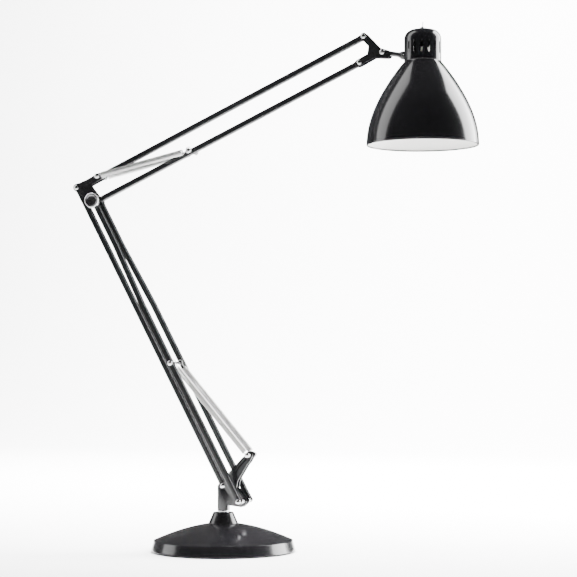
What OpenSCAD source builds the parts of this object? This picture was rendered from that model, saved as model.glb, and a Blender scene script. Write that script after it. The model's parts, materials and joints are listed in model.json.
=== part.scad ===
// Giant spring-balanced arm floor lamp, 2.43 m tall as posed.
// Origin: centre of the base's underside. +Z up, arms in the XZ plane, shade towards +X.

/* [Base] */
// Outside diameter of the base at the floor
base_d = 680; // [500:5:800]
// Height of the upright band round the base
band_h = 54; // [35:1:80]
// Rise of the dome above the band
dome_rise = 84; // [50:1:130]
// Wall of the cast base shell
base_wall = 9; // [5:1:15]
// Gap between the ballast disc and the shell round it
ballast_gap = 34; // [5:1:60]
// Thickness of the ballast disc
ballast_t = 34; // [15:1:40]
// Thickness of the felt pad under the base
foot_h = 5; // [3:0.5:8]
// Height of the conical collar on the dome
collar_h = 48; // [35:1:80]
// Collar diameter where it meets the dome
collar_d = 138; // [110:1:160]
// Collar diameter at its top
collar_top_d = 98; // [70:1:104]
// Diameter of the swivel spigot
spigot_d = 34; // [20:1:44]
// Bore of the cable gland at the back of the base
gland_bore_d = 8; // [6:0.5:9]

/* [Arms] */
// Distance between the pivots of the lower arm
lower_len = 1610; // [1200:5:1900]
// Angle of the lower arm from the +X direction
lower_angle = 117.85; // [112:0.05:122]
// Distance between the pivots of the upper arm
upper_len = 1448.5; // [1100:0.5:1700]
// Angle of the upper arm from the +X direction
upper_angle = 24.43; // [18:0.01:30]
// Side of the square arm tubes
tube_w = 25; // [18:1:28]
// Wall of the arm tubes
tube_wall = 2; // [1:0.25:4]
// Gap between the elbow plates and the front tubes
elbow_gap = 6; // [5:0.5:12]

/* [Plates and pins] */
// Thickness of the pivot plates
plate_t = 4; // [3:0.5:6]
// Running gap between a tube and the plate beside it
side_gap = 2; // [1:0.5:3]
// Diameter of the pivot pins
pin_d = 12; // [8:0.5:14]
// Radial clearance of a pivot pin in a moving bore
run_fit = 0.05; // [0.01:0.01:0.1]
// Diameter of the slotted screw heads
head_d = 24; // [18:0.5:28]
// Height of the slotted screw heads
head_h = 6; // [4:0.5:8]
// Diameter of the elbow knob
knob_d = 72; // [50:1:90]

/* [Springs] */
// Outside diameter of a balance spring
spring_d = 28; // [20:1:30]
// Diameter of the spring wire
spring_wire = 3.5; // [2:0.25:4.5]
// Gap between a spring and the front tube beside it
spring_gap = 3.5; // [2:0.5:12]
// Distance from the front pivot to the lower spring rod, along the arm
lower_rod_at = 730; // [600:5:850]
// Distance from the elbow pivot to the upper spring pin, along the arm
upper_pin_at = 537; // [450:5:620]

/* [Shade] */
// Outside diameter of the shade's rim
rim_d = 510; // [400:5:600]
// Height of the shade body below the cap
shade_h = 379; // [300:1:450]
// Wall of the spun shade
shade_wall = 2; // [1.5:0.25:4]
// Outside diameter of the cap
cap_d = 168; // [140:1:190]
// Height of the cap
cap_h = 154; // [130:1:190]
// Number of vent slots in the cap
slot_count = 16; // [8:2:20]
// Width of a vent slot
slot_w = 9; // [4:0.5:12]
// Length of a vent slot
slot_l = 55; // [30:1:70]
// Diameter of the lamp bulb
bulb_d = 95; // [60:1:120]
// Length of the toggle lever above its bush
toggle_l = 22; // [15:1:35]

/* [Hidden] */
$fn = 48;

function polar(r, a) = [r * cos(a), r * sin(a)];

// pivots in the XZ plane
lower_link = [102, -68.5];
upper_link = [18.7, 118.3];
p2 = [105, 240];
p1 = p2 - lower_link;
e2 = p2 + polar(lower_len, lower_angle);
e1 = e2 - lower_link;
e3 = e2 + upper_link;
h2 = e2 + polar(upper_len, upper_angle);
h1 = h2 + upper_link;
h3 = h2 + [108, 41.5];
spring_foot = p2 + [31, 216];
lower_rod = p2 + polar(lower_rod_at, lower_angle);
upper_pin = e2 + polar(upper_pin_at, upper_angle);
hub = h3 + [96, -19];
shade_x = h3[0] + 185;
cap_top = h3[1] + 101;
cap_foot = cap_top - cap_h;
rim_z = cap_foot - shade_h;

// places across the lamp
half_tube = tube_w / 2;
plate_in = half_tube + side_gap;
plate_out = plate_in + plate_t;
spring_y = plate_out + 9.5 + spring_d / 2;
front_y_foot = spring_y + spring_d / 2 + spring_gap + half_tube;
front_y_elbow = plate_out + elbow_gap + half_tube;
foot_out = front_y_foot + half_tube;
elbow_out = front_y_elbow + half_tube;
pin_end = spring_y + 8;
slot_cut = 2.5;
end_l = 26;
tang_l = 30;
dome_top = band_h + dome_rise;
seat_z = dome_top - 6;
base_r = base_d / 2;
band_lean = 12.5;
collar_top = dome_top + collar_h;
inner_r = base_r - base_wall - 12;
ballast_r = inner_r - ballast_gap;
ballast_foot = foot_h + 3;
ballast_top = ballast_foot + ballast_t;
ballast_screw_r = ballast_r * 2 / 3;
bore_r = pin_d / 2 + run_fit;
hook_bore = pin_d / 2 + 0.5;
hook_r = hook_bore + 5;

// Stands a flat XZ outline up, from y0 to y1
module across(y0, y1) {
    translate([0, y1, 0]) rotate([90, 0, 0]) linear_extrude(y1 - y0) children();
}

// Round bar along Y at an XZ point
module bar(at, d, y0, y1) {
    translate([at[0], y1, at[1]]) rotate([90, 0, 0]) cylinder(h = y1 - y0, d = d);
}

// Both sides: the near one and its mirror image
module both_sides() {
    children();
    mirror([0, 1, 0]) children();
}

// Slotted round screw head on the far side, its underside at y
module slotted_head(at, y, turn = 30) {
    translate([at[0], y, at[1]]) rotate([-90, 0, 0]) difference() {
        union() {
            cylinder(h = head_h - 2, d = head_d);
            translate([0, 0, head_h - 2]) cylinder(h = 2, d1 = head_d, d2 = head_d - 4);
        }
        rotate([0, 0, turn]) translate([-head_d, -slot_cut / 2, head_h - 2.2])
            cube([2 * head_d, slot_cut, 3]);
    }
}

// Straight square tube in the XZ plane between two pivots, short of both by the end pieces
module square_tube(a, b) {
    span = norm(b - a);
    aim = atan2(b[1] - a[1], b[0] - a[0]);
    translate([a[0], 0, a[1]]) rotate([0, -aim, 0]) translate([end_l, 0, 0]) difference() {
        translate([0, -half_tube, -half_tube]) cube([span - 2 * end_l, tube_w, tube_w]);
        translate([-1, tube_wall - half_tube, tube_wall - half_tube])
            cube([span - 2 * end_l + 2, tube_w - 2 * tube_wall, tube_w - 2 * tube_wall]);
    }
}

// Solid tube end: round at the pivot, bored for its pin, with a tang inside the tube
module tube_end(at, aim, y = 0, bore = bore_r) {
    translate([at[0], y, at[1]]) rotate([0, -aim, 0]) difference() {
        union() {
            translate([0, half_tube, 0]) rotate([90, 0, 0]) cylinder(h = tube_w, d = tube_w);
            translate([0, -half_tube, -half_tube]) cube([end_l, tube_w, tube_w]);
            translate([0, tube_wall - half_tube, tube_wall - half_tube])
                cube([end_l + tang_l, tube_w - 2 * tube_wall, tube_w - 2 * tube_wall]);
        }
        translate([0, tube_w, 0]) rotate([90, 0, 0]) cylinder(h = 2 * tube_w, r = bore);
    }
}

// Outline joining round corners: hull of circles at each point
module rounded(points, r) {
    hull() for (p = points) translate(p) circle(r = r, $fn = 32);
}

// ---- base ----

// Outside of the base shell, from the floor ring up to the top of the dome
module base_profile(grow) {
    top_r = base_r - band_lean - grow;
    polygon(concat(
        [[0, foot_h - 1], [base_r - grow, foot_h - 1], [top_r, band_h - grow]],
        [for (i = [1:12]) let (t = i / 12)
            [top_r * cos(90 * t), band_h - grow + dome_rise * (1 - pow(cos(90 * t), 1.75))]]));
}

module floor_pad() {
    color("dimgray") cylinder(h = foot_h, r = base_r - 10, $fn = 96);
}

// Places the four ballast screws
module at_ballast_screws() {
    for (a = [45:90:315]) rotate(a) translate([ballast_screw_r, 0, 0]) children();
}

module base_shell() {
    color([0.04, 0.04, 0.045]) difference() {
        union() {
            rotate_extrude($fn = 96) difference() {
                intersection() {
                    base_profile(0);
                    translate([0, foot_h]) square([base_r, seat_z - foot_h]);
                }
                intersection() {
                    base_profile(base_wall);
                    translate([0, -1]) square([inner_r, seat_z + 1 - base_wall]);
                }
            }
            intersection() {
                at_ballast_screws() translate([0, 0, ballast_top]) cylinder(h = dome_top, d = 26);
                rotate_extrude($fn = 96) base_profile(3);
            }
        }
        translate([0, 0, dome_top / 2]) cylinder(h = dome_top, r = spigot_d / 2 + run_fit);
        translate([-base_r, 0, gland_z]) rotate([0, 90, 0]) cylinder(h = 60, d = gland_d, center = true);
        at_ballast_screws() translate([0, 0, ballast_top - 1]) cylinder(h = 21, d = 10);
    }
}

module ballast_disc() {
    color("dimgray") difference() {
        translate([0, 0, ballast_foot]) cylinder(h = ballast_t, r = ballast_r, $fn = 96);
        at_ballast_screws() {
            translate([0, 0, ballast_foot - 1]) cylinder(h = ballast_t + 2, d = 10.5);
            translate([0, 0, ballast_foot - 1]) cylinder(h = 8, d = 22);
        }
    }
}

module ballast_screws() {
    color("silver") at_ballast_screws() {
        translate([0, 0, ballast_foot + 0.5]) cylinder(h = 6.5, d = 18, $fn = 6);
        translate([0, 0, ballast_foot + 1]) cylinder(h = ballast_t + 17, d = 10);
    }
}

module base_collar() {
    lift = collar_top - seat_z;
    color([0.04, 0.04, 0.045]) translate([0, 0, seat_z]) rotate_extrude($fn = 96)
        polygon([[spigot_d / 2 + run_fit, 0], [collar_d / 2, 0], [collar_top_d / 2 + 1, lift - 4],
            [collar_top_d / 2 - 2, lift], [spigot_d / 2 + run_fit, lift]]);
}

gland_z = 30;
gland_d = 18;

module cable_gland() {
    color([0.05, 0.05, 0.05]) translate([-base_r - 6, 0, gland_z]) rotate([0, 90, 0]) difference() {
        union() {
            cylinder(h = 8.5, d = 22, $fn = 6);
            cylinder(h = 32, d = gland_d);
        }
        translate([0, 0, -1]) cylinder(h = 40, d = gland_bore_d);
    }
}

// ---- swivel bracket ----

module swivel_spigot() {
    color("silver") {
        translate([0, 0, dome_top - 20]) cylinder(h = collar_h + 20, d = spigot_d);
        translate([0, 0, collar_top + 0.3]) cylinder(h = 7, d = 52);
        translate([0, 0, collar_top - 1]) cylinder(h = 2, d = spigot_d);
    }
}

block_foot = collar_top + 7.3;
block_top = p1[1] - 45;

module bracket_block() {
    color([0.04, 0.04, 0.045]) translate([-22, -plate_in, block_foot])
        cube([50, 2 * plate_in, block_top - block_foot]);
}

// Bracket plate: stands on the block, reaches to the two arm pivots and up to the spring foot
module bracket_outline() {
    difference() {
        union() {
            polygon([[-22, block_foot], [20, block_foot], [20, p2[1] - 20], p2 + [-14, -28], p2 + [12, -15],
                p2 + [17, 9], p2 + [-32, 62], p2 + [-25, 96], p2 + [40, 201], p2 + [14, 216], p2 + [-3, 204],
                p2 + [-71, 133], p1 + [26, 26], p1 + [-12, 15], [-22, p1[1] + 2]]);
            rounded([p2, p2 + [-12, -10]], 19);
            rounded([p1 + [-5, -2], p1 + [26, 8]], 18);
            rounded([spring_foot, p2 + [17, 190]], 17);
        }
        for (p = [p1, p2, spring_foot]) translate(p) circle(d = pin_d);
    }
}

module bracket_plate_near() {
    color([0.04, 0.04, 0.045]) across(-plate_out, -plate_in) bracket_outline();
}

module bracket_plate_far() {
    color([0.04, 0.04, 0.045]) across(plate_in, plate_out) bracket_outline();
}

module bracket_pins() {
    color("silver") {
        bar(p1, pin_d, -plate_out, plate_out);
        bar(p2, pin_d, -foot_out - 1, foot_out + 1);
        bar(spring_foot, pin_d, -pin_end, pin_end);
    }
}

module bracket_screws() {
    color("silver") both_sides() {
        slotted_head(p1, plate_out, 10);
        slotted_head(p2, foot_out + 1, 70);
        slotted_head(spring_foot, pin_end, 45);
    }
}

// Bright spacers and washers that fill the axle between the plates and the front tubes
module axle_spacers() {
    gap = front_y_foot - half_tube - plate_out;
    color("gainsboro") both_sides() {
        for (i = [0:2]) bar_ring(p2, 24, plate_out + i * gap / 3 + 0.2, plate_out + (i + 1) * gap / 3 - 1.2);
        bar_ring(spring_foot, 20, plate_out, spring_y - 5);
    }
}

// Ring along Y, fitted on a pin
module bar_ring(at, d, y0, y1, bore = pin_d) {
    difference() {
        bar(at, d, y0, y1);
        bar(at, bore, y0 - 1, y1 + 1);
    }
}

// ---- lower arm ----

crank_from = 0.65 * lower_len;
crank_to = 0.85 * lower_len;

// Path of a cranked front tube in its own plane, widened by w on each side
function crank(w, x0, x1) = concat(
    [[x0, front_y_foot - w], [crank_from, front_y_foot - w], [crank_to, front_y_elbow - w], [x1, front_y_elbow - w]],
    [[x1, front_y_elbow + w], [crank_to, front_y_elbow + w], [crank_from, front_y_foot + w], [x0, front_y_foot + w]]);

// Far front tube; the near one is its mirror image
module front_tube() {
    difference() {
        translate([p2[0], 0, p2[1]]) rotate([0, -lower_angle, 0]) difference() {
            translate([0, 0, -half_tube]) linear_extrude(tube_w)
                polygon(crank(half_tube, end_l, lower_len - end_l));
            translate([0, 0, tube_wall - half_tube]) linear_extrude(tube_w - 2 * tube_wall)
                polygon(crank(half_tube - tube_wall, end_l - 1, lower_len - end_l + 1));
        }
        bar(lower_rod, pin_d, front_y_foot - tube_w, front_y_foot + tube_w);
    }
}

module front_tube_far() { color([0.04, 0.04, 0.045]) front_tube(); }

module front_tube_near() { color([0.04, 0.04, 0.045]) mirror([0, 1, 0]) front_tube(); }

module front_tube_ends() {
    color([0.05, 0.05, 0.055]) both_sides() {
        tube_end(p2, lower_angle, front_y_foot);
        tube_end(e2, lower_angle + 180, front_y_elbow);
    }
}

module lower_spring_rod() {
    color("silver") bar(lower_rod, pin_d, -foot_out, foot_out);
}

module lower_rod_screws() {
    color("silver") both_sides() slotted_head(lower_rod, foot_out, 20);
}

module rear_tube() { color([0.04, 0.04, 0.045]) square_tube(p1, e1); }

module rear_tube_ends() {
    color([0.05, 0.05, 0.055]) {
        tube_end(p1, lower_angle);
        tube_end(e1, lower_angle + 180, 0, bore_r + 0.4);
    }
}

// ---- elbow ----

// Elbow plate: an angle between the rear pivot, the elbow pivot and the top pivot
module elbow_outline() {
    corner = e1 + [34, 8];
    difference() {
        union() {
            rounded([e1, corner, e2], 18);
            rounded([corner + [4, 2], e3], 17);
            rounded([e2, corner + [6, 2]], 21);
        }
        for (p = [e1, e2, e3]) translate(p) circle(d = pin_d);
    }
}

module elbow_plate_near() {
    color([0.04, 0.04, 0.045]) across(-plate_out, -plate_in) elbow_outline();
}

module elbow_plate_far() {
    color([0.04, 0.04, 0.045]) across(plate_in, plate_out) elbow_outline();
}

module elbow_pins() {
    color("silver") {
        bar(e1, pin_d, -plate_out, plate_out);
        bar(e2, pin_d, -elbow_out - 16, elbow_out + 4);
        bar(e3, pin_d, -pin_end, pin_end);
        both_sides() bar_ring(e2, 24, plate_out, plate_out + elbow_gap - 2);
    }
}

module elbow_screws() {
    color("silver") both_sides() {
        slotted_head(e1, plate_out, 20);
        slotted_head(e3, pin_end, 60);
    }
}

module elbow_nut() {
    color("silver") translate([e2[0], elbow_out + 1, e2[1]]) rotate([-90, 0, 0]) difference() {
        union() {
            cylinder(h = 12, d = 26, $fn = 6);
            translate([0, 0, 12]) cylinder(h = 4, d1 = 22, d2 = 12);
        }
        translate([0, 0, -1]) cylinder(h = 4, d = pin_d);
    }
}

knob_y = -elbow_out - 2;
knob_t = 12;
knob_wall = 3;

module knob_body() {
    color([0.1, 0.1, 0.11]) translate([e2[0], knob_y, e2[1]]) rotate([90, 0, 0]) difference() {
        union() {
            cylinder(h = 6, d = 30);
            translate([0, 0, 6]) cylinder(h = knob_t, d = knob_d - 2 * knob_wall, $fn = 96);
        }
        translate([0, 0, -1]) cylinder(h = 15.2, r = bore_r);
    }
}

module knob_ring() {
    color("silver") translate([e2[0], knob_y - 6, e2[1]]) rotate([90, 0, 0])
        rotate_extrude($fn = 96) difference() {
            translate([knob_d / 2 - knob_wall, 0]) square([knob_wall, knob_t + 1]);
            translate([knob_d / 2, 0]) circle(r = 1.5, $fn = 16);
        }
}

// ---- upper arm and top link ----

module upper_tube() {
    color([0.04, 0.04, 0.045]) difference() {
        square_tube(e2, h2);
        bar(upper_pin, pin_d, -tube_w, tube_w);
    }
}

module upper_tube_ends() {
    color([0.05, 0.05, 0.055]) {
        tube_end(e2, upper_angle);
        tube_end(h2, upper_angle + 180);
    }
}

module upper_spring_pin() { color("silver") bar(upper_pin, pin_d, -pin_end, pin_end); }

module upper_pin_screws() {
    color("silver") both_sides() slotted_head(upper_pin, pin_end, 0);
}

module top_tube() { color([0.04, 0.04, 0.045]) square_tube(e3, h1); }

module top_tube_ends() {
    color([0.05, 0.05, 0.055]) {
        tube_end(e3, upper_angle);
        tube_end(h1, upper_angle + 180, 0, bore_r + 0.4);
    }
}

// ---- head bracket and stem ----

// Head plate: two prongs to the arm pivots, joined at the stem pivot
module head_outline() {
    neck = h3 + [-18, 2];
    difference() {
        union() {
            rounded([h1, neck + [-2, 2]], 16);
            rounded([h2 + [-6, -3], neck + [-18, -8]], 16);
            rounded([neck, h3 + [22, -11], neck + [-16, -8]], 18);
            rounded([neck + [-34, 20], neck + [-6, 2], neck + [-38, -14]], 15);
        }
        for (p = [h1, h2, h3]) translate(p) circle(d = pin_d);
    }
}

module head_plate_near() {
    color([0.04, 0.04, 0.045]) across(-plate_out, -plate_in) head_outline();
}

module head_plate_far() {
    color([0.04, 0.04, 0.045]) across(plate_in, plate_out) head_outline();
}

module head_pins() {
    color("silver") for (p = [h1, h2, h3]) bar(p, pin_d, -plate_out, plate_out);
}

module head_screws() {
    color("silver") both_sides() {
        slotted_head(h1, plate_out, 40);
        slotted_head(h2, plate_out, 5);
        slotted_head(h3, plate_out, 75);
    }
}

stem_aim = atan2(hub[1] - h3[1], hub[0] - h3[0]);
stem_l = norm(hub - h3);
stub_d = 12;
stub_l = 34;
shank_d = 22;

// Turned stem: an eye between the head plates, a round shank and a flared end with a socket
module stem() {
    color([0.04, 0.04, 0.045]) translate([h3[0], 0, h3[1]]) rotate([0, -stem_aim, 0]) difference() {
        union() {
            translate([0, half_tube, 0]) rotate([90, 0, 0]) cylinder(h = tube_w, d = 26);
            rotate([0, 90, 0]) cylinder(h = stem_l - 22, d = shank_d);
            translate([stem_l - 24, 0, 0]) rotate([0, 90, 0]) cylinder(h = 16, d1 = shank_d, d2 = flange_d - 2);
        }
        translate([0, tube_w, 0]) rotate([90, 0, 0]) cylinder(h = 2 * tube_w, r = bore_r);
        translate([stem_l - 30, 0, 0]) rotate([0, 90, 0]) cylinder(h = 40, r = stub_d / 2 + run_fit);
    }
}

// Swivel stub fixed to the cap: a spigot in the stem and a flange that follows the cap's wall
module shade_stub() {
    color([0.04, 0.04, 0.045]) difference() {
        translate([h3[0], 0, h3[1]]) rotate([0, -stem_aim, 0]) {
            translate([stem_l - 29, 0, 0]) rotate([0, 90, 0]) cylinder(h = stub_l + 20, d = stub_d);
            translate([stem_l - 7.5, 0, 0]) rotate([0, 90, 0]) cylinder(h = 30, d = flange_d);
        }
        translate([shade_x, 0, rim_z]) cylinder(h = cap_top - rim_z, d = cap_d, $fn = 96);
        at_hub_screw() cylinder(h = 8, d = hub_screw_d);
    }
}

hub_screw_d = 6;
flange_d = 38;

// Places the hub screw, pointing into the flange from the near side
module at_hub_screw() {
    translate([h3[0], 0, h3[1]]) rotate([0, -stem_aim, 0])
        translate([stem_l - 1, -flange_d / 2 - 4, 0]) rotate([-90, 0, 0]) children();
}

module hub_screw() {
    color("silver") at_hub_screw() difference() {
        union() {
            cylinder(h = 4, d = 12);
            cylinder(h = 8, d = hub_screw_d);
        }
        translate([-8, -1, -1]) cube([16, 2, 2.2]);
    }
}

// ---- shade ----

// Outline of the bell: radius at a share of the drop from the cap to the rim
function bell_r(t) = cap_d / 2 + (rim_d - cap_d) / 2 * pow(sin(90 * pow(t, 0.97)), 0.95);

function bell(inset, steps = 20) = [for (i = [0:steps]) let (t = i / steps)
    [bell_r(t) - inset, cap_foot - shade_h * t]];

function back(list) = [for (i = [len(list) - 1:-1:0]) list[i]];

module shade() {
    color([0.04, 0.04, 0.045]) translate([shade_x, 0, 0]) rotate_extrude($fn = 96)
        polygon(concat(bell(0), back(bell(shade_wall)), [[cap_d / 2 - 14, cap_foot], [cap_d / 2 - 14, cap_foot + 2],
            [cap_d / 2 - 3, cap_foot + 2], [cap_d / 2, cap_foot]]));
}

cap_round = 44;

function cap_outline(inset) = [for (i = [0:8]) let (a = 90 * i / 8)
    [cap_d / 2 - cap_round + (cap_round - inset) * cos(a),
        cap_top - 8 - cap_round + (cap_round - inset) * sin(a)]];

module cap() {
    color([0.04, 0.04, 0.045]) translate([shade_x, 0, 0]) difference() {
        rotate_extrude($fn = 96) polygon(concat(
            [[cap_d / 2 - 2.5, cap_foot + 2], [cap_d / 2, cap_foot + 2]], cap_outline(0),
            [[20, cap_top - 2], [toggle_hole, cap_top], [toggle_hole, cap_top - 2.5], [20, cap_top - 4.5]],
            back(cap_outline(2.5))));
        for (i = [0:slot_count - 1]) rotate(360 * (i + 0.5) / slot_count)
            translate([cap_d / 2 - 12, 0, cap_foot + 38]) vent_slot();
    }
}

module vent_slot() {
    translate([0, -slot_w / 2, 0]) cube([24, slot_w, slot_l - slot_w]);
    for (z = [0, slot_l - slot_w]) translate([0, 0, z]) rotate([0, 90, 0]) cylinder(h = 24, d = slot_w);
}

// Holder hung from the cap's shoulder by its flange
module lampholder() {
    color("ivory") translate([shade_x, 0, 0]) difference() {
        union() {
            translate([0, 0, cap_foot - 20]) cylinder(h = cap_h - 70, d = 62);
            translate([0, 0, cap_foot - 2]) cylinder(h = 2, d = cap_d - 12);
        }
        translate([0, 0, cap_foot - 21]) cylinder(h = 60, d = 41);
    }
}

module bulb() {
    drop = cap_foot - 130;
    color("white") translate([shade_x, 0, 0]) {
        rotate_extrude($fn = 64) difference() {
            bulb_outline(drop);
            translate([0, drop]) intersection() {
                circle(r = bulb_d / 2 - 1.5);
                translate([0, -bulb_d]) square(2 * bulb_d);
            }
        }
        translate([0, 0, cap_foot - 20.5]) cylinder(h = 45, d = 39);
        translate([0, 0, cap_foot + 24]) cylinder(h = 15, d = 14);
    }
}

// Half outline of the bulb's glass, from its tip to its neck
module bulb_outline(drop) {
    polygon(concat(
        [[0, drop - bulb_d / 2]],
        [for (i = [1:14]) let (a = -90 + 10 * i) [bulb_d / 2 * cos(a), drop + bulb_d / 2 * sin(a)]],
        [[20, cap_foot - 60], [19, cap_foot - 20], [0, cap_foot - 20]]));
}

toggle_hole = 8;
toggle_z = cap_top + 1.5;
toggle_lean = 12;

module toggle_bush() {
    color("silver") translate([shade_x, 0, 0]) difference() {
        union() {
            translate([0, 0, cap_top - 24]) cylinder(h = 26, r = toggle_hole - 0.5);
            translate([0, 0, cap_top + 0.2]) cylinder(h = 2.2, d = 22, $fn = 6);
            translate([0, 0, cap_top + 0.2]) cylinder(h = 5, d = 13);
        }
        translate([0, 0, toggle_z]) cylinder(h = 10, d1 = 8.5, d2 = 14);
        translate([0, 0, toggle_z]) sphere(d = 8.3);
    }
}

module toggle_lever() {
    color("gainsboro") translate([shade_x, 0, toggle_z]) {
        sphere(d = 8);
        rotate([-toggle_lean, 0, 0]) {
            cylinder(h = toggle_l + 4, d1 = 4, d2 = 5);
            translate([0, 0, toggle_l + 4]) sphere(d = 5);
        }
    }
}

// ---- springs ----

// Close-wound spring body between two pins: a barrel with a closed eye at each end.
// The stretched coil is a plain barrel here; the eyes at the far pin are pieces of their own.
module spring_body(a, b) {
    aim = atan2(b[1] - a[1], b[0] - a[0]);
    span = norm(b - a);
    translate([a[0], spring_y, a[1]]) rotate([0, -aim, 0]) difference() {
        union() {
            translate([22, 0, 0]) rotate([0, 90, 0]) difference() {
                cylinder(h = span - 54, d = spring_d);
                translate([0, 0, spring_wire]) cylinder(h = span, d = spring_d - 2 * spring_wire);
            }
            translate([0, 3, 0]) rotate([90, 0, 0]) cylinder(h = 6, r = hook_r);
            translate([0, -3, -6]) cube([24, 6, 12]);
        }
        translate([0, 10, 0]) rotate([90, 0, 0]) cylinder(h = 20, r = hook_bore);
    }
}

// Eye of a spring at its far pin
module spring_hook(a, b) {
    aim = atan2(b[1] - a[1], b[0] - a[0]);
    translate([b[0], spring_y, b[1]]) rotate([0, -aim, 0]) difference() {
        union() {
            translate([0, 3, 0]) rotate([90, 0, 0]) cylinder(h = 6, r = hook_r);
            translate([-31.5, -3, -6]) cube([31.5, 6, 12]);
        }
        translate([0, 10, 0]) rotate([90, 0, 0]) cylinder(h = 20, r = hook_bore);
    }
}

module lower_spring_far() { color("silver") spring_body(spring_foot, lower_rod); }

module lower_spring_near() { color("silver") mirror([0, 1, 0]) spring_body(spring_foot, lower_rod); }

module lower_spring_hooks() { color("silver") both_sides() spring_hook(spring_foot, lower_rod); }

module upper_spring_far() { color("silver") spring_body(e3, upper_pin); }

module upper_spring_near() { color("silver") mirror([0, 1, 0]) spring_body(e3, upper_pin); }

module upper_spring_hooks() { color("silver") both_sides() spring_hook(e3, upper_pin); }

floor_pad();
base_shell();
ballast_disc();
ballast_screws();
base_collar();
cable_gland();
swivel_spigot();
bracket_block();
bracket_plate_near();
bracket_plate_far();
bracket_pins();
bracket_screws();
axle_spacers();
front_tube_near();
front_tube_far();
front_tube_ends();
lower_spring_rod();
lower_rod_screws();
rear_tube();
rear_tube_ends();
elbow_plate_near();
elbow_plate_far();
elbow_pins();
elbow_screws();
elbow_nut();
knob_body();
knob_ring();
upper_tube();
upper_tube_ends();
upper_spring_pin();
upper_pin_screws();
top_tube();
top_tube_ends();
head_plate_near();
head_plate_far();
head_pins();
head_screws();
stem();
shade_stub();
hub_screw();
shade();
cap();
lampholder();
bulb();
toggle_bush();
toggle_lever();
lower_spring_near();
lower_spring_far();
lower_spring_hooks();
upper_spring_near();
upper_spring_far();
upper_spring_hooks();
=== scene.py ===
import json
import math

import bmesh
import bpy
from mathutils import Euler, Matrix, Vector


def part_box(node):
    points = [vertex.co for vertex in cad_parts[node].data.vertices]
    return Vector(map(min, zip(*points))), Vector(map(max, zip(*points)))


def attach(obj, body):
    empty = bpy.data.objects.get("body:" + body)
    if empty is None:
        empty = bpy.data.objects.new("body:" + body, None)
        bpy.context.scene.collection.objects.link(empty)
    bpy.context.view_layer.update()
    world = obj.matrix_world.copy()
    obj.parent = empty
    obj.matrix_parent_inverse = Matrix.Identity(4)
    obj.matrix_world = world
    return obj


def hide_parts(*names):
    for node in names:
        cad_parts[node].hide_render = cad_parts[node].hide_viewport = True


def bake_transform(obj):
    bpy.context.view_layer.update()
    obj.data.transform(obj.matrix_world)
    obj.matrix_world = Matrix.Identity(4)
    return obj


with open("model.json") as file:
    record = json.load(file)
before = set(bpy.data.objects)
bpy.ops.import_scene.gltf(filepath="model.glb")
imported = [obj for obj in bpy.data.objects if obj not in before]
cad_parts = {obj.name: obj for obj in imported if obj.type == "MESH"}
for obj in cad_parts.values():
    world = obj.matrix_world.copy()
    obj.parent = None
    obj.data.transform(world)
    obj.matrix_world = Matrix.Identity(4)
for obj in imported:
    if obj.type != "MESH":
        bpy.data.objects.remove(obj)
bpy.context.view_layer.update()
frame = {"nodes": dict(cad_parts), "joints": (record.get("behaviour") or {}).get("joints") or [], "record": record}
nodes = frame["nodes"]
nodeSlot = {s["node"]: s["material_slot"] for s in frame["record"]["subparts"]}
pivot = {j["name"]: Vector(j["pos_m"]) for j in frame["joints"] if j["type"] == "hinge"}
print("frame loaded:", len(nodes), "nodes")


def middle(node):
    low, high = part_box(node)
    return (Vector(low) + Vector(high)) / 2


studio = {
    "cameraAt": (3.0, -8.0, 0.9),
    "cameraTurn": 18.5,
    "lens": 113.3,
    "shiftUp": 0.1239,
    "floorSize": 60.0,
    "bendFrom": 9.0,
    "bendRadius": 4.0,
    "wallTop": 14.0,
    "world": 0.05,
    "flag": {"middle": (0.5, 0.0), "radius": 3.6, "from": 62, "to": 172, "foot": -0.2, "top": 5.0,
             "steps": 22},
    "lights": [
        # name, place, aim, width, height, watts, seen in reflections
        ("panelRight", (4.0, 2.5, 3.0), (0.95, 0, 2.0), 3.0, 6.4, 1500, True),
        ("softLeft", (-3.4, -0.8, 4.2), (0.9, 0, 2.0), 2.4, 8.0, 300, True),
        ("top", (0.2, 0.5, 6.0), (0.2, 0, 0), 5.0, 5.0, 1500, False),
        ("frontFill", (2.0, -9.0, 4.0), (0, 0, 1.0), 1.2, 1.2, 60, False),
        ("backdropWash", (0.0, 3.5, 7.5), (0, 12, 1.0), 10.0, 4.0, 15000, False),
    ],
}


def aimAt(place, target):
    return (Vector(target) - Vector(place)).to_track_quat("-Z", "Y").to_euler()


# Dark card behind the lamp that only reflections see: it keeps the outlines of glossy pieces dark
def makeFlag(s):
    points = []
    for i in range(s["steps"] + 1):
        angle = math.radians(s["from"] + (s["to"] - s["from"]) * i / s["steps"])
        x, y = s["middle"][0] + s["radius"] * math.cos(angle), s["middle"][1] + s["radius"] * math.sin(angle)
        points += [(x, y, s["foot"]), (x, y, s["top"])]
    mesh = bpy.data.meshes.new("flag")
    mesh.from_pydata(points, [], [(2 * i, 2 * i + 2, 2 * i + 3, 2 * i + 1) for i in range(s["steps"])])
    flag = bpy.data.objects.new("flag", mesh)
    bpy.context.scene.collection.objects.link(flag)
    flag.visible_camera = False
    flag.visible_diffuse = False
    flag.visible_shadow = False
    return flag


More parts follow.
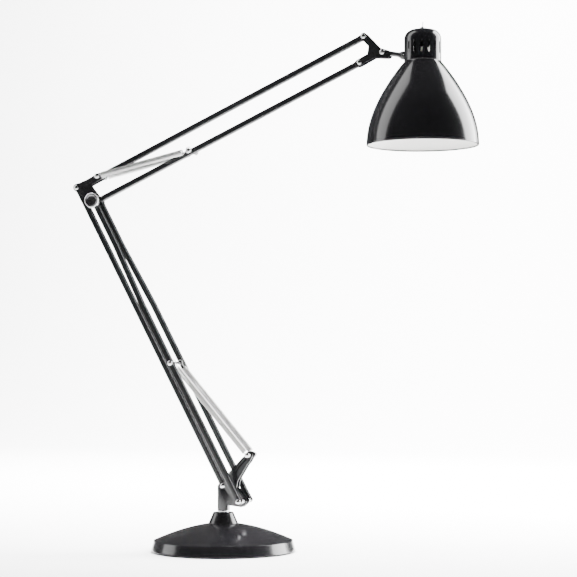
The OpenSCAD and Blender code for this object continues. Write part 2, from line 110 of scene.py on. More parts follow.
def makeStudio(s):
    scene = bpy.context.scene
    lens = bpy.data.cameras.new("camera")
    lens.lens = s["lens"]
    lens.shift_y = s["shiftUp"]
    camera = bpy.data.objects.new("camera", lens)
    camera.location = s["cameraAt"]
    camera.rotation_euler = (math.radians(90), 0, math.radians(s["cameraTurn"]))
    scene.collection.objects.link(camera)
    scene.camera = camera
    world = bpy.data.worlds.new("studio")
    world.use_nodes = True
    background = world.node_tree.nodes["Background"]
    background.inputs["Color"].default_value = (1, 1, 1, 1)
    background.inputs["Strength"].default_value = s["world"]
    scene.world = world
    for name, place, aim, width, height, watts, seen in s["lights"]:
        light = bpy.data.lights.new(name, "AREA")
        light.shape = "RECTANGLE"
        light.size = width
        light.size_y = height
        light.energy = watts
        lamp = bpy.data.objects.new(name, light)
        lamp.location = place
        lamp.rotation_euler = aimAt(place, aim)
        lamp.visible_camera = False
        lamp.visible_glossy = seen
        scene.collection.objects.link(lamp)
    half = s["floorSize"] / 2
    back, bend = s["bendFrom"], s["bendRadius"]
    sweep = [(-half, 0.0), (back, 0.0)]
    for i in range(1, 7):
        angle = math.radians(15 * i)
        sweep.append((back + bend * math.sin(angle), bend - bend * math.cos(angle)))
    sweep.append((back + bend, s["wallTop"]))
    mesh = bpy.data.meshes.new("floor")
    points = [(x, y, z) for y, z in sweep for x in (-half, half)]
    faces = [(2 * i, 2 * i + 1, 2 * i + 3, 2 * i + 2) for i in range(len(sweep) - 1)]
    mesh.from_pydata(points, [], faces)
    for face in mesh.polygons:
        face.use_smooth = True
    floor = bpy.data.objects.new("floor", mesh)
    scene.collection.objects.link(floor)
    return floor


floor = makeStudio(studio)
flag = makeFlag(studio["flag"])
print("studio ready")


class Value:
    # A shader socket that takes part in Python sums.

    def __init__(self, paint, socket):
        self.paint = paint
        self.socket = socket

    def mathNode(self, operation, a, b):
        return self.paint.add("ShaderNodeMath", {"operation": operation}, [a, b])

    def __add__(self, other):
        return self.mathNode("ADD", self, other)

    def __mul__(self, other):
        return self.mathNode("MULTIPLY", self, other)

    __radd__ = __add__
    __rmul__ = __mul__


class Paint:
    def __init__(self, name, **fixed):
        self.material = bpy.data.materials.new(name)
        self.material.use_nodes = True
        self.tree = self.material.node_tree
        self.shader = self.tree.nodes["Principled BSDF"]
        for key, value in fixed.items():
            self.shader.inputs[key.replace("_", " ")].default_value = value
        self.place = self.add("ShaderNodeTexCoord", {}, {}, "Object")

    def add(self, kind, settings, inputs, output=0):
        node = self.tree.nodes.new(kind)
        for key, value in settings.items():
            if key == "stops":
                for stop, (at, color) in zip(node.color_ramp.elements, value):
                    stop.position = at
                    stop.color = color
            else:
                setattr(node, key, value)
        pairs = inputs.items() if isinstance(inputs, dict) else enumerate(inputs)
        for key, value in pairs:
            if isinstance(value, Value):
                self.tree.links.new(value.socket, node.inputs[key])
            else:
                node.inputs[key].default_value = value
        return Value(self, node.outputs[output])

    def noise(self, scale, detail=3.0, stretch=(1, 1, 1)):
        spread = self.add("ShaderNodeMapping", {}, {"Vector": self.place, "Scale": stretch})
        return self.add("ShaderNodeTexNoise", {}, {"Vector": spread, "Scale": scale, "Detail": detail})

    def band(self, value, low, high):
        settings = {"interpolation_type": "SMOOTHSTEP"}
        return self.add("ShaderNodeMapRange", settings, {"Value": value, "From Min": low, "From Max": high})

    def mix(self, mask, first, second):
        settings = {"data_type": "RGBA"}
        inputs = {0: mask, 6: (*first, 1.0), 7: (*second, 1.0)}
        return self.add("ShaderNodeMix", settings, inputs, 2)

    def bump(self, height, depth, strength=1.0):
        return self.add("ShaderNodeBump", {}, {"Height": height, "Distance": depth, "Strength": strength})

    def use(self, socket, value):
        self.tree.links.new(value.socket, self.shader.inputs[socket])
        return self


enamel = {"cloudScale": 4.0, "peelScale": 210.0, "peelDepth": 0.00012, "dustScale": 900.0,
          "dustBand": (0.70, 0.80), "castScale": 60.0, "lift": 2.6, "liftBase": 0.004}


def blackEnamel(name, tint, rough, grain=0.0):
    paint = Paint(name, Specular_IOR_Level=0.42, Coat_Weight=0.15, Coat_Roughness=0.05)
    cloud = paint.noise(enamel["cloudScale"], 4.0)
    dust = paint.band(paint.noise(enamel["dustScale"], 2.0), *enamel["dustBand"])
    mask = cloud * 0.6 + dust * 0.25
    paint.use("Base Color", paint.mix(mask, tint, [c * enamel["lift"] + enamel["liftBase"] for c in tint]))
    paint.use("Roughness", cloud * 0.06 + dust * 0.12 + rough)
    peel = paint.noise(enamel["peelScale"], 2.0) + paint.noise(enamel["castScale"], 3.0) * grain
    return paint.use("Normal", paint.bump(peel, enamel["peelDepth"], 0.35)).material


def whiteEnamel():
    paint = Paint("whiteEnamel", Specular_IOR_Level=0.4)
    cloud = paint.noise(6.0, 3.0)
    paint.use("Base Color", paint.mix(cloud, (0.72, 0.715, 0.70), (0.80, 0.795, 0.78)))
    paint.use("Roughness", cloud * 0.15 + 0.38)
    return paint.use("Normal", paint.bump(paint.noise(240.0, 2.0), 0.0001, 0.3)).material


def polishedMetal(name, dark, light, rough, scratch):
    paint = Paint(name, Metallic=1.0)
    cloud = paint.noise(25.0, 4.0)
    fine = paint.noise(700.0, 2.0, (1.0, 0.12, 1.0))
    paint.use("Base Color", paint.mix(cloud, dark, light))
    paint.use("Roughness", fine * scratch + cloud * 0.05 + rough)
    return paint.use("Normal", paint.bump(fine, 0.00005, 0.3)).material


def roughIron():
    paint = Paint("roughIron", Metallic=0.6)
    cloud = paint.noise(14.0, 6.0)
    pits = paint.noise(160.0, 4.0)
    paint.use("Base Color", paint.mix(cloud, (0.05, 0.05, 0.052), (0.13, 0.125, 0.12)))
    paint.use("Roughness", pits * 0.25 + 0.5)
    return paint.use("Normal", paint.bump(pits, 0.0006, 0.7)).material


def feltPad():
    paint = Paint("feltPad", Specular_IOR_Level=0.1)
    fluff = paint.noise(420.0, 6.0)
    paint.use("Base Color", paint.mix(fluff, (0.012, 0.012, 0.014), (0.06, 0.06, 0.062)))
    paint.use("Roughness", fluff * 0.1 + 0.88)
    return paint.use("Normal", paint.bump(fluff, 0.0006, 0.9)).material


def mouldedPlastic(name, dark, light, rough):
    paint = Paint(name, Specular_IOR_Level=0.45)
    cloud = paint.noise(9.0, 3.0)
    grain = paint.noise(520.0, 3.0)
    paint.use("Base Color", paint.mix(cloud, dark, light))
    paint.use("Roughness", grain * 0.12 + rough)
    return paint.use("Normal", paint.bump(grain, 0.00006, 0.4)).material


def opalGlass():
    paint = Paint("opalGlass", Specular_IOR_Level=0.5, Coat_Weight=0.6, Coat_Roughness=0.03)
    cloud = paint.noise(12.0, 3.0)
    paint.use("Base Color", paint.mix(cloud, (0.86, 0.85, 0.82), (0.93, 0.925, 0.91)))
    return paint.use("Roughness", cloud * 0.06 + 0.12).material


def studioFloor():
    paint = Paint("studioFloor", Specular_IOR_Level=0.0)
    cloud = paint.noise(0.8, 2.0)
    paint.use("Base Color", paint.mix(cloud, (0.90, 0.90, 0.90), (0.92, 0.92, 0.92)))
    return paint.use("Roughness", cloud * 0.04 + 0.16).material


finish = {
    "gloss_black": blackEnamel("armEnamel", (0.004, 0.004, 0.0045), 0.20),
    "black_aluminium": blackEnamel("shadeEnamel", (0.002, 0.002, 0.0025), 0.13),
    "black_iron": blackEnamel("baseEnamel", (0.003, 0.003, 0.0035), 0.17, 0.6),
    "steel": polishedMetal("brightSteel", (0.66, 0.66, 0.67), (0.84, 0.84, 0.85), 0.07, 0.12),
    "spring_steel": polishedMetal("springWire", (0.40, 0.40, 0.40), (0.58, 0.575, 0.57), 0.26, 0.16),
    "iron": roughIron(),
    "felt": feltPad(),
    "black_plastic": mouldedPlastic("blackPlastic", (0.012, 0.012, 0.013), (0.03, 0.03, 0.032), 0.32),
    "ivory": mouldedPlastic("ivoryBakelite", (0.72, 0.69, 0.60), (0.80, 0.78, 0.70), 0.30),
    "opal_glass": opalGlass(),
    "inside": whiteEnamel(),
    "knobFace": polishedMetal("knobFace", (0.26, 0.26, 0.27), (0.44, 0.44, 0.44), 0.10, 0.10),
}
floor.data.materials.append(studioFloor())
flagCloth = mouldedPlastic("flagCloth", (0.004, 0.004, 0.004), (0.01, 0.01, 0.01), 0.9)
flag.data.materials.append(flagCloth)
for name, piece in nodes.items():
    piece.data.materials.clear()
    piece.data.materials.append(finish[nodeSlot[name]])
print("materials ready:", len(finish))


def bodyOf(node):
    return next(b for b, group in frame["record"]["behaviour"]["bodies"].items() if node in group)


def keep(name, mesh, node, material=None, rides=True):
    # A finished mesh that takes the place of one or more CAD nodes.
    piece = bpy.data.objects.new(name, mesh)
    bpy.context.scene.collection.objects.link(piece)
    if not mesh.materials:
        mesh.materials.append(material or finish[nodeSlot[node]])
    if rides:
        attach(piece, bodyOf(node))
    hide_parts(node)
    return piece


def smoothByAngle(mesh, degrees):
    mesh.shade_smooth()
    mesh.set_sharp_from_angle(angle=math.radians(degrees))
    return mesh


def plainCopy(obj, name):
    # The object's mesh with its modifiers applied.
    graph = bpy.context.evaluated_depsgraph_get()
    mesh = bpy.data.meshes.new_from_object(obj.evaluated_get(graph))
    mesh.name = name
    return mesh


def scratchObject(name, mesh):
    obj = bpy.data.objects.new(name, mesh)
    bpy.context.scene.collection.objects.link(obj)
    return obj


def softened(node, edge, name=None, degrees=32):
    # A copy of a CAD node with its sharp edges rounded over.
    build = bmesh.new()
    build.from_mesh(nodes[node].data)
    bmesh.ops.remove_doubles(build, verts=build.verts, dist=2e-5)
    bmesh.ops.dissolve_limit(build, angle_limit=math.radians(0.6), verts=build.verts, edges=build.edges)
    mesh = bpy.data.meshes.new(node)
    build.to_mesh(mesh)
    build.free()
    work = scratchObject("work", mesh)
    bevel = work.modifiers.new("edge", "BEVEL")
    bevel.width = edge
    bevel.segments = 3
    bevel.limit_method = "ANGLE"
    bevel.angle_limit = math.radians(degrees)
    bevel.harden_normals = True
    mesh.shade_smooth()
    result = plainCopy(work, node + "Soft")
    bpy.data.objects.remove(work)
    smoothByAngle(result, degrees)
    result.materials.clear()
    return keep(name or node + ".soft", result, node)


def spun(profile, centre, steps=192, closed=True):
    # Turns a list of (radius, height, material) round the upright axis through centre.
    mesh = bpy.data.meshes.new("spun")
    build = bmesh.new()
    rings = []
    for radius, height, _ in profile:
        if radius < 1e-6:
            rings.append([build.verts.new((centre.x, centre.y, height))] * steps)
            continue
        ring = []
        for i in range(steps):
            angle = 2 * math.pi * i / steps
            x, y = centre.x + radius * math.cos(angle), centre.y + radius * math.sin(angle)
            ring.append(build.verts.new((x, y, height)))
        rings.append(ring)
    count = len(profile)
    for k in range(count if closed else count - 1):
        first, second = rings[k], rings[(k + 1) % count]
        for i in range(steps):
            j = (i + 1) % steps
            corners = list(dict.fromkeys([first[i], first[j], second[j], second[i]]))
            if len(corners) > 2:
                build.faces.new(corners).material_index = profile[k][2]
    bmesh.ops.recalc_face_normals(build, faces=build.faces)
    build.to_mesh(mesh)
    build.free()
    return mesh


def arc(cx, cz, radius, start, end, steps, material=0):
    turns = [math.radians(start + (end - start) * i / steps) for i in range(steps + 1)]
    return [(cx + radius * math.cos(a), cz + radius * math.sin(a), material) for a in turns]


base = {"padHeight": 0.005, "bandHeight": 0.054, "bandLean": 0.0125, "edge": 0.0015, "wall": 0.009,
        "domePower": 1.75, "steps": 40, "seatDrop": 0.006, "sinkRadius": 0.064, "boreRadius": 0.01705,
        "collarTop": 0.0475, "collarEdge": 0.0045}


def makeBase(s):
    low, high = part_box("base_shell")
    radius = (high[0] - low[0]) / 2
    seat = high[2]
    rise = seat + s["seatDrop"] - s["bandHeight"]
    domeRadius = radius - s["bandLean"]
    outer = [(radius - 0.002, s["padHeight"], 0), (radius - 0.0003, s["padHeight"] + 0.0016, 0)]
    for i in range(6):
        height = s["padHeight"] + 0.003 + (s["bandHeight"] - 0.010) * i / 6
        outer.append((radius - 0.0003 - s["bandLean"] * i / 6, height, 0))
    outer += arc(domeRadius - s["edge"], s["bandHeight"] - s["edge"], s["edge"], 14, 66, 6)
    for i in range(2, s["steps"] + 1):
        angle = math.pi / 2 * i / s["steps"]
        height = s["bandHeight"] + rise * (1 - math.cos(angle) ** s["domePower"])
        if height < seat - 1e-4 and domeRadius * math.cos(angle) > s["sinkRadius"]:
            outer.append((domeRadius * math.cos(angle), height, 0))
    outer += [(s["sinkRadius"], seat, 0), (s["boreRadius"], seat, 0), (s["boreRadius"], seat - s["wall"], 0)]
    inner = [(r - s["wall"] * 0.8, z - s["wall"], 0) for r, z, _ in reversed(outer[:-3])
             if z > s["bandHeight"] + 0.004]
    innerRadius = radius - s["wall"] - s["bandLean"]
    inner += [(innerRadius, s["bandHeight"] - 0.010, 0), (innerRadius, s["padHeight"], 0)]
    mesh = spun(outer + inner, Vector((0, 0, 0)), 256)
    keep("baseShell", smoothByAngle(mesh, 30), "base_shell")

    low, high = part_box("base_collar")
    foot, top = (high[0] - low[0]) / 2, high[2]
    topRadius, edge = s["collarTop"], s["collarEdge"]
    profile = [(s["boreRadius"], low[2], 0), (foot - 0.002, low[2], 0)]
    profile += arc(foot - 0.0025, low[2] + 0.0025, 0.0025, -60, 20, 5)
    profile += arc(topRadius - 0.0035, top - edge, edge, 16, 90, 8)
    profile += [(0.030, top, 0), (0.028, top - 0.0015, 0), (s["boreRadius"], top - 0.0015, 0)]
    keep("baseCollar", smoothByAngle(spun(profile, Vector((0, 0, 0)), 192), 40), "base_collar")


makeBase(base)
print("base made")


tubes = {"corner": 0.0032, "cornerSteps": 4, "wall": 0.002, "crank": (0.65, 0.85), "endPiece": 0.026}


def squareOutline(half, corner, steps):
    points = []
    for quarter, (sx, sy) in enumerate(((1, 1), (-1, 1), (-1, -1), (1, -1))):
        for i in range(steps + 1):
            angle = math.pi / 2 * (quarter + i / steps)
            points.append((sx * (half - corner) + corner * math.cos(angle),
                           sy * (half - corner) + corner * math.sin(angle)))
    return points


def sweptTube(path, flat, width, s):
    # A square tube along a path whose bends all lie across the direction flat.
    build = bmesh.new()
    shells = []
    for inset in (0.0, s["wall"]):
        outline = squareOutline(width / 2 - inset, max(s["corner"] - inset, 0.001), s["cornerSteps"])
        rings = []
        for k, point in enumerate(path):
            before = (point - path[k - 1]).normalized() if k else (path[1] - point).normalized()
            after = (path[k + 1] - point).normalized() if k < len(path) - 1 else before
            across = ((before + after) / 2).normalized().cross(flat).normalized()
            stretch = 1 / max(0.5, math.cos(before.angle(after) / 2))
            rings.append([build.verts.new(point + across * u * stretch + flat * v) for u, v in outline])
        for first, second in zip(rings, rings[1:]):
            for i in range(len(outline)):
                j = (i + 1) % len(outline)
                build.faces.new((first[i], first[j], second[j], second[i]))
        shells.append(rings)
    for end in (0, -1):
        outside, inside = shells[0][end], shells[1][end]
        for i in range(len(outside)):
            j = (i + 1) % len(outside)
            build.faces.new((outside[i], outside[j], inside[j], inside[i]))
    bmesh.ops.recalc_face_normals(build, faces=build.faces)
    mesh = bpy.data.meshes.new("tube")
    build.to_mesh(mesh)
    build.free()
    return smoothByAngle(mesh, 35)


def makeTubes(s):
    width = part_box("rear_tube")[1][1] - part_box("rear_tube")[0][1]
    straight = {
        "rear_tube": (pivot["rear_link_pivot"], pivot["elbow_level"] - pivot["lower_arm_tilt"]),
        "upper_tube": (pivot["upper_arm_tilt"], pivot["head_level"] - pivot["upper_arm_tilt"]),
        "top_tube": (pivot["top_link_pivot"], pivot["head_level"] - pivot["upper_arm_tilt"]),
    }
    for node, (start, span) in straight.items():
        along = span.normalized()
        path = [start + along * s["endPiece"], start + span - along * s["endPiece"]]
        flat = along.cross(Vector((0, 1, 0))).normalized()
        keep(node.replace("_t", "T"), sweptTube(path, flat, width, s), node)
    foot, elbow = pivot["lower_arm_tilt"], pivot["elbow_level"]
    span = elbow - foot
    along = span.normalized()
    flat = along.cross(Vector((0, 1, 0))).normalized()
    for node in ("front_tube_near", "front_tube_far"):
        low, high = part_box(node)
        side = -1 if low[1] < 0 else 1
        wide = max(abs(low[1]), abs(high[1])) - width / 2
        narrow = min(abs(low[1]), abs(high[1])) + width / 2
        places = [(s["endPiece"] / span.length, wide), (s["crank"][0], wide),
                  (s["crank"][1], narrow), (1 - s["endPiece"] / span.length, narrow)]
        path = [foot + span * t + Vector((0, side * y, 0)) for t, y in places]
        keep(node.replace("front_tube_", "frontTube."), sweptTube(path, flat, width, s), node)


makeTubes(tubes)
print("tubes made")


softEdges = {
    "bracket_plate_near": 0.0009, "bracket_plate_far": 0.0009, "bracket_block": 0.0015,
    "elbow_plate_near": 0.0009, "elbow_plate_far": 0.0009,
    "head_plate_near": 0.0009, "head_plate_far": 0.0009,
    "front_tube_ends": 0.0022, "rear_tube_ends": 0.0022, "upper_tube_ends": 0.0022, "top_tube_ends": 0.0022,
    "stem": 0.0012, "shade_stub": 0.0015, "elbow_nut": 0.0010, "axle_spacers": 0.0008,
    "toggle_bush": 0.0004, "hub_screw": 0.0004, "cable_gland": 0.0008, "lampholder": 0.0012,
    "swivel_spigot": 0.0008, "ballast_disc": 0.0020, "bulb": 0.0004, "toggle_lever": 0.0002,
    "floor_pad": 0.0012,
}
for node, edge in softEdges.items():
    softened(node, edge)
print("plates and fittings softened:", len(softEdges))


screws = {"crown": 0.0045, "seatEdge": 0.0005, "seatRise": 0.0006,
          "slotWidth": 0.0027, "slotDepth": 0.0022, "steps": 40,
          "turns": (25, 70, 140, 10, 105, 55, 160, 85),
          "nodes": ("bracket_screws", "lower_rod_screws", "elbow_screws", "upper_pin_screws", "head_screws")}


def screwHead(s, radius, height):
    # One domed head, its seat at z = 0, with a slot across it.
    profile = [(0.0, 0.0, 0), (radius - s["seatEdge"], 0.0, 0), (radius, s["seatRise"], 0)]
    profile.append((radius, height - s["crown"], 0))
    for i in range(1, 10):
        angle = math.radians(9 * i)
        profile.append((radius * math.cos(angle), height - s["crown"] * (1 - math.sin(angle)), 0))
    profile.append((0.0, height, 0))
    head = scratchObject("head", spun(profile, Vector((0, 0, 0)), s["steps"], False))
    cutter = bmesh.new()
    bmesh.ops.create_cube(cutter, size=1.0)
    bmesh.ops.scale(cutter, vec=(4 * radius, s["slotWidth"], 2 * s["slotDepth"]), verts=cutter.verts)
    bmesh.ops.translate(cutter, vec=(0, 0, height), verts=cutter.verts)
    mesh = bpy.data.meshes.new("cutter")
    cutter.to_mesh(mesh)
    cutter.free()
    tool = scratchObject("cutter", mesh)
    cut = head.modifiers.new("slot", "BOOLEAN")
    cut.object = tool
    cut.solver = "EXACT"
    result = smoothByAngle(plainCopy(head, "screwHead"), 35)
    bpy.data.objects.remove(head)
    bpy.data.objects.remove(tool)
    return scratchObject("screwHead", result)


def instanceTree(material):
    # Puts a part on every point, turned by the point's own angles.
    tree = bpy.data.node_groups.new("screwsOnPoints", "GeometryNodeTree")
    tree.interface.new_socket("Geometry", in_out="INPUT", socket_type="NodeSocketGeometry")
    tree.interface.new_socket("Part", in_out="INPUT", socket_type="NodeSocketObject")
    tree.interface.new_socket("Geometry", in_out="OUTPUT", socket_type="NodeSocketGeometry")
    add = tree.nodes.new
    source, result = add("NodeGroupInput"), add("NodeGroupOutput")
    part, place = add("GeometryNodeObjectInfo"), add("GeometryNodeInstanceOnPoints")
    turn = add("GeometryNodeInputNamedAttribute")
    turn.data_type = "FLOAT_VECTOR"
    turn.inputs["Name"].default_value = "turn"
    real, paint = add("GeometryNodeRealizeInstances"), add("GeometryNodeSetMaterial")
    paint.inputs["Material"].default_value = material
    link = tree.links.new
    link(source.outputs["Part"], part.inputs["Object"])
    link(source.outputs["Geometry"], place.inputs["Points"])
    link(part.outputs["Geometry"], place.inputs["Instance"])
    link(turn.outputs["Attribute"], place.inputs["Rotation"])
    link(place.outputs["Instances"], real.inputs["Geometry"])
    link(real.outputs["Geometry"], paint.inputs["Geometry"])
    link(paint.outputs["Geometry"], result.inputs["Geometry"])
    return tree


def runTree(mesh, tree, settings, name):
    # Evaluates a node tree on a mesh and gives back the plain result.
    work = scratchObject("work", mesh)
    modifier = work.modifiers.new("build", "NODES")
    modifier.node_group = tree
    for item in tree.interface.items_tree:
        if item.in_out == "INPUT" and item.name in settings:
            modifier[item.identifier] = settings[item.name]
    result = plainCopy(work, name)
    bpy.data.objects.remove(work)
    return result


def islands(node):
    # Centre and size of each separate solid in a CAD node.
    build = bmesh.new()
    build.from_mesh(nodes[node].data)
    bmesh.ops.remove_doubles(build, verts=build.verts, dist=2e-5)
    found, seen = [], set()
    for start in build.verts:
        if start in seen:
            continue
        group, queue = [], [start]
        seen.add(start)
        while queue:
            vertex = queue.pop()
            group.append(vertex.co.copy())
            for edge in vertex.link_edges:
                other = edge.other_vert(vertex)
                if other not in seen:
                    seen.add(other)
                    queue.append(other)
        low = Vector([min(p[i] for p in group) for i in range(3)])
        high = Vector([max(p[i] for p in group) for i in range(3)])
        found.append(((low + high) / 2, high - low))
    build.free()
    return found


def makeScrews(s):
    tree = instanceTree(finish["steel"])
    count = 0
    for node in s["nodes"]:
        solids = islands(node)
        size = solids[0][1]
        head = screwHead(s, size.x / 2, size.y)
        points = bpy.data.meshes.new("points")
        seats, turns = [], []
        for centre, size in solids:
            side = 1 if centre.y > 0 else -1
            seats.append(centre - Vector((0, side * size.y / 2, 0)))
            spin = Euler((0, 0, math.radians(s["turns"][count % len(s["turns"])]))).to_matrix()
            face = Euler((math.radians(-90 * side), 0, 0)).to_matrix()
            turns.append((face @ spin).to_euler())
            count += 1
        points.from_pydata(seats, [], [])
        attribute = points.attributes.new("turn", "FLOAT_VECTOR", "POINT")
        attribute.data.foreach_set("vector", [a for turn in turns for a in turn])
        mesh = runTree(points, tree, {"Part": head}, node)
        bpy.data.objects.remove(head)
        keep(node.replace("_screws", "Screws"), mesh, node)
    print("screw heads made:", count)


makeScrews(screws)


knob = {"rim": 0.0024, "dish": 0.0025, "wall": 0.003, "boreRadius": 0.00605, "boreDepth": 0.0142,
        "bossRadius": 0.015, "bossHeight": 0.006}


def turnToNear(mesh, centre, depth):
    # Lays a mesh that was spun round z on its side, facing -Y, its back at depth.
    place = Matrix.Translation(Vector((centre.x, depth, centre.z)))
    mesh.transform(place @ Matrix.Rotation(math.radians(90), 4, "X"))
    return mesh


def makeKnob(s):
    centre = pivot["upper_arm_tilt"]
    low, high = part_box("knob_ring")
    outer, depth = (high[0] - low[0]) / 2, high[1] - low[1]
    inner = outer - s["wall"] - 0.0001
    ring = [(inner, 0.0, 0), (outer - 0.002, 0.0, 0)]
    ring += arc(outer - 0.0022, 0.0022, 0.0022, -70, 0, 4)
    ring += [(outer - 0.0006, 0.0045, 0), (outer - 0.0006, depth - 0.0050, 0)]
    ring += arc(outer - s["rim"], depth - s["rim"], s["rim"], 0, 90, 8)
    ring += arc(outer - s["rim"], depth - 0.0012, 0.0012, 90, 180, 4)
    ring += [(inner, depth - 0.0035, 0)]
    mesh = smoothByAngle(spun(ring, Vector((0, 0, 0)), 240), 30)
    keep("knobRing", turnToNear(mesh, centre, high[1]), "knob_ring")
    low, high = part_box("knob_body")
    depth = high[1] - low[1]
    bore, boss, lift = s["boreRadius"], s["bossRadius"], s["bossHeight"]
    face = [(bore, 0.0, 0), (boss, 0.0, 0), (boss, lift, 0), (inner - 0.0001, lift, 0)]
    face += [(inner - 0.0001, depth - 0.0012, 0)]
    face += arc(inner - 0.0031, depth - 0.0030, 0.0030, 36, 90, 6)
    face += [(inner * 0.8 * math.cos(math.radians(a)), depth - s["dish"] * math.sin(math.radians(a)), 0)
             for a in range(0, 90, 8)]
    face += [(0.0, depth - s["dish"], 0), (0.0, s["boreDepth"], 0), (bore, s["boreDepth"], 0)]
    mesh = smoothByAngle(spun(face, Vector((0, 0, 0)), 160), 30)
    keep("knobBody", turnToNear(mesh, centre, high[1]), "knob_body", finish["knobFace"])


makeKnob(knob)
print("knob made")


shade = {"wall": 0.0018, "bead": 0.0038, "beadTop": 1.6, "innerFoot": 1.8, "edge": 0.0004,
         "lip": 0.002, "collarWidth": 0.014, "shoulderPower": 0.97, "bellPower": 0.95, "steps": 56}
cap = {"round": 0.044, "wall": 0.0024, "slots": 16, "slotWidth": 0.009, "slotLength": 0.055,
       "slotFoot": 0.0335, "slotLift": 0.0025, "slotReach": 0.012, "edge": 0.0012, "crownDrop": 0.008}


def bellRadius(t, top, rim, s):
    return top + (rim - top) * math.sin(math.pi / 2 * t ** s["shoulderPower"]) ** s["bellPower"]


def makeShade(s):
    low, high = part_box("shade")
    centre = middle("shade")
    rim, foot = (high[0] - low[0]) / 2, low[2]
    top = (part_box("cap")[1][0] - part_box("cap")[0][0]) / 2
    shoulder = high[2] - s["lip"]
    height = shoulder - foot
    outer = []
    for i in range(s["steps"] + 1):
        t = i / s["steps"]
        outer.append((bellRadius(t, top, rim, s), shoulder - height * t, 0))
    outer[-1] = (rim - s["edge"], foot + s["bead"] * s["beadTop"], 0)
    bead = arc(rim - s["bead"] - 0.0002, foot + s["bead"], s["bead"], 10, -190, 12)
    inner = [(r - s["wall"] - s["edge"], z, 1) for r, z, _ in reversed(outer[:-1])]
    inner = [(r, max(z, foot + s["bead"] * s["innerFoot"]), m) for r, z, m in inner]
    neck = top - s["collarWidth"]
    collar = [(neck, shoulder, 0), (neck, high[2], 0), (top - 0.001, high[2], 0)]
    mesh = spun(outer + bead + inner + collar, centre, 256)
    mesh.materials.append(finish["black_aluminium"])
    mesh.materials.append(finish["inside"])
    keep("shadeBell", smoothByAngle(mesh, 40), "shade")


def slotOutline(s, steps=10):
    half, straight = s["slotWidth"] / 2, s["slotLength"] - s["slotWidth"]
    up = [(half * math.cos(math.pi * i / steps), straight + half * math.sin(math.pi * i / steps))
          for i in range(steps + 1)]
    down = [(half * math.cos(math.pi * (1 + i / steps)), half * math.sin(math.pi * (1 + i / steps)))
            for i in range(steps + 1)]
    return up + down


def makeCap(s):
    low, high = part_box("cap")
    centre = middle("cap")
    radius = (high[0] - low[0]) / 2
    top, foot = high[2], low[2]
    shoulder = radius - s["round"]
    outer = [(radius - s["edge"] / 2, foot, 0), (radius, foot + s["edge"], 0)]
    outer += [(radius, foot + 0.1 * i * (top - foot - 0.052), 0) for i in range(1, 10)]
    outer += arc(shoulder, top - s["crownDrop"] - s["round"], s["round"], 0, 84, 20)
    outer += [(0.030, top - 0.0052, 0), (0.020, top - 0.0022, 0), (0.012, top - 0.0006, 0), (0.008, top, 0)]
    inner = [(max(r - s["wall"] * (1 if z < top - 0.03 else 0.5), 0.008),
              z - (s["wall"] if z > top - 0.05 else 0), 0) for r, z, _ in reversed(outer[1:])]
    inner += [(radius - s["wall"], foot, 0)]
    body = scratchObject("cap", spun(outer + inner, centre, 256))
    cutters = bmesh.new()
    outline = slotOutline(s)
    for k in range(s["slots"]):
        turn = Matrix.Rotation(2 * math.pi * (k + 0.5) / s["slots"], 4, "Z")
        rings = []
        for reach in (radius - s["slotReach"], radius + s["slotReach"]):
            ring = []
            for across, up in outline:
                spot = turn @ Vector((reach, across, 0))
                ring.append(cutters.verts.new((centre.x + spot.x, centre.y + spot.y,
                                               foot + s["slotFoot"] + s["slotLift"] + up)))
            rings.append(ring)
        count = len(outline)
        for i in range(count):
            j = (i + 1) % count
            cutters.faces.new((rings[0][i], rings[0][j], rings[1][j], rings[1][i]))
        cutters.faces.new(reversed(rings[0]))
        cutters.faces.new(rings[1])
    bmesh.ops.recalc_face_normals(cutters, faces=cutters.faces)
    mesh = bpy.data.meshes.new("cutters")
    cutters.to_mesh(mesh)
    cutters.free()
    tool = scratchObject("cutters", mesh)
    cut = body.modifiers.new("vents", "BOOLEAN")
    cut.object = tool
    cut.solver = "EXACT"
    result = smoothByAngle(plainCopy(body, "capVented"), 35)
    bpy.data.objects.remove(body)
    bpy.data.objects.remove(tool)
    keep("capVented", result, "cap")


makeShade(shade)
makeCap(cap)
print("shade and cap made")


springs = {"wire": 0.0034, "pitch": 0.0041, "stepsPerTurn": 20, "wireSides": 6, "neck": 0.022, "tail": 0.032,
           "eye": 0.0088, "eyeSteps": 28, "eyeFrom": -30, "eyeSweep": 300, "eyeNeck": 0.004,
           # radius, and its centre's shift along and across the spring: room for the pin at the arm's limits
           "tailEye": {"lower": (0.0114, -0.0015, 0.00305), "upper": (0.0128, 0.0008, -0.0046)}}


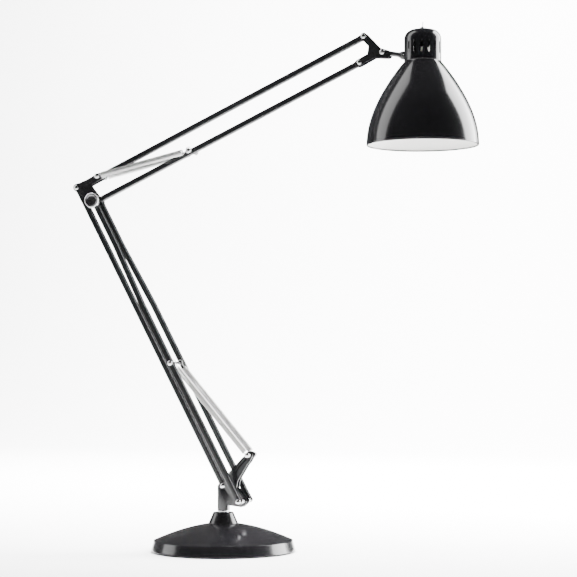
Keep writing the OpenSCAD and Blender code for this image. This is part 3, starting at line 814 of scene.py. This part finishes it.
def coilTree(material):
    # A helix of round wire along z, closed at both ends.
    tree = bpy.data.node_groups.new("closeCoil", "GeometryNodeTree")
    tree.interface.new_socket("Geometry", in_out="INPUT", socket_type="NodeSocketGeometry")
    for name in ("Radius", "Length", "Turns", "Wire radius"):
        tree.interface.new_socket(name, in_out="INPUT", socket_type="NodeSocketFloat")
    for name in ("Steps", "Sides"):
        tree.interface.new_socket(name, in_out="INPUT", socket_type="NodeSocketInt")
    tree.interface.new_socket("Geometry", in_out="OUTPUT", socket_type="NodeSocketGeometry")
    add = tree.nodes.new
    link = tree.links.new
    source, result = add("NodeGroupInput"), add("NodeGroupOutput")
    helix, wire = add("GeometryNodeCurveSpiral"), add("GeometryNodeCurvePrimitiveCircle")
    skin, paint = add("GeometryNodeCurveToMesh"), add("GeometryNodeSetMaterial")
    real = add("GeometryNodeRealizeInstances")
    skin.inputs["Fill Caps"].default_value = True
    paint.inputs["Material"].default_value = material
    link(source.outputs["Turns"], helix.inputs["Rotations"])
    link(source.outputs["Steps"], helix.inputs["Resolution"])
    link(source.outputs["Radius"], helix.inputs["Start Radius"])
    link(source.outputs["Radius"], helix.inputs["End Radius"])
    link(source.outputs["Length"], helix.inputs["Height"])
    link(source.outputs["Sides"], wire.inputs["Resolution"])
    link(source.outputs["Wire radius"], wire.inputs["Radius"])
    link(helix.outputs["Curve"], skin.inputs["Curve"])
    link(wire.outputs["Curve"], skin.inputs["Profile Curve"])
    link(skin.outputs["Mesh"], real.inputs["Geometry"])
    link(real.outputs["Geometry"], paint.inputs["Geometry"])
    link(paint.outputs["Geometry"], result.inputs["Geometry"])
    return tree


def wireLoop(build, points, radius, sides=10):
    # Sweeps a round wire along points that lie in one plane, into an open bmesh.
    rings = []
    side = Vector((0, 1, 0))
    for k, point in enumerate(points):
        ahead = points[min(k + 1, len(points) - 1)] - points[max(k - 1, 0)]
        out = ahead.normalized().cross(side).normalized()
        turns = [2 * math.pi * i / sides for i in range(sides)]
        offsets = [(out * math.cos(a) + side * math.sin(a)) * radius for a in turns]
        rings.append([build.verts.new(point + offset) for offset in offsets])
    for first, second in zip(rings, rings[1:]):
        for i in range(sides):
            j = (i + 1) % sides
            build.faces.new((first[i], first[j], second[j], second[i]))
    build.faces.new(reversed(rings[0]))
    build.faces.new(rings[-1])


def eyePoints(pin, toward, eye, reach, coilRadius, ahead=0.0, across=0.0):
    # A closed eye round the pin, a shank, and a bend out to the coil's own radius.
    side = toward.cross(Vector((0, 1, 0))).normalized()
    centre = pin + toward * ahead + side * across
    points = []
    for i in range(springs["eyeSteps"] + 1):
        angle = math.radians(springs["eyeFrom"] - springs["eyeSweep"] * i / springs["eyeSteps"])
        points.append(centre + (toward * math.cos(angle) + side * math.sin(angle)) * eye)
    points.append(centre + toward * (eye + springs["eyeNeck"]) + side * eye * 0.25)
    points.append(pin + toward * (reach - 0.006) + side * eye * 0.4)
    points.append(pin + toward * (reach - 0.001) + side * coilRadius * 0.75)
    points.append(pin + toward * (reach + 0.001) + side * coilRadius)
    return points


def makeSpring(node, start, end, y, s):
    a, b = Vector((start.x, y, start.z)), Vector((end.x, y, end.z))
    along = (b - a).normalized()
    length = (b - a).length - s["neck"] - s["tail"]
    low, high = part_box(node)
    coilRadius = (high[1] - low[1]) / 2 - s["wire"] / 2
    turns = length / s["pitch"]
    settings = {"Radius": coilRadius, "Length": length, "Turns": turns, "Wire radius": s["wire"] / 2,
                "Steps": s["stepsPerTurn"], "Sides": s["wireSides"]}
    coil = runTree(bpy.data.meshes.new("seed"), coilTree(finish["spring_steel"]), settings, node)
    aim = along.to_track_quat("Z", "Y").to_matrix().to_4x4()
    coil.transform(Matrix.Translation(a + along * s["neck"]) @ aim)
    build = bmesh.new()
    build.from_mesh(coil)
    wireLoop(build, eyePoints(a, along, s["eye"], s["neck"], coilRadius), s["wire"] / 2)
    bmesh.ops.recalc_face_normals(build, faces=build.faces)
    build.to_mesh(coil)
    build.free()
    coil.shade_smooth()
    piece = keep(node.replace("_spring_", "Spring."), coil, node, rides=False)
    first, last = a + along * s["neck"], b - along * s["tail"]
    tuple(first)
    tuple(last)
    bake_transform(piece)
    return b, along, coilRadius


def makeSprings(s):
    pairs = {
        "lower": (pivot["lower_spring_pivot"], middle("lower_spring_rod"),
                  ("lower_springs", "lower_spring_tails")),
        "upper": (pivot["upper_spring_pivot"], middle("upper_spring_pin"),
                  ("upper_springs", "upper_spring_tails")),
    }
    for name, (start, end, bodies) in pairs.items():
        build = bmesh.new()
        for side in ("near", "far"):
            node = f"{name}_spring_{side}"
            pin, along, coilRadius = makeSpring(node, start, end, middle(node).y, s)
            eye, ahead, across = s["tailEye"][name]
            wireLoop(build, eyePoints(pin, -along, eye, s["tail"], coilRadius, ahead, across), s["wire"] / 2)
        bmesh.ops.recalc_face_normals(build, faces=build.faces)
        mesh = bpy.data.meshes.new(name + "Eyes")
        build.to_mesh(mesh)
        build.free()
        mesh.shade_smooth()
        keep(name + "SpringEyes", mesh, f"{name}_spring_hooks")


makeSprings(springs)
print("springs made")
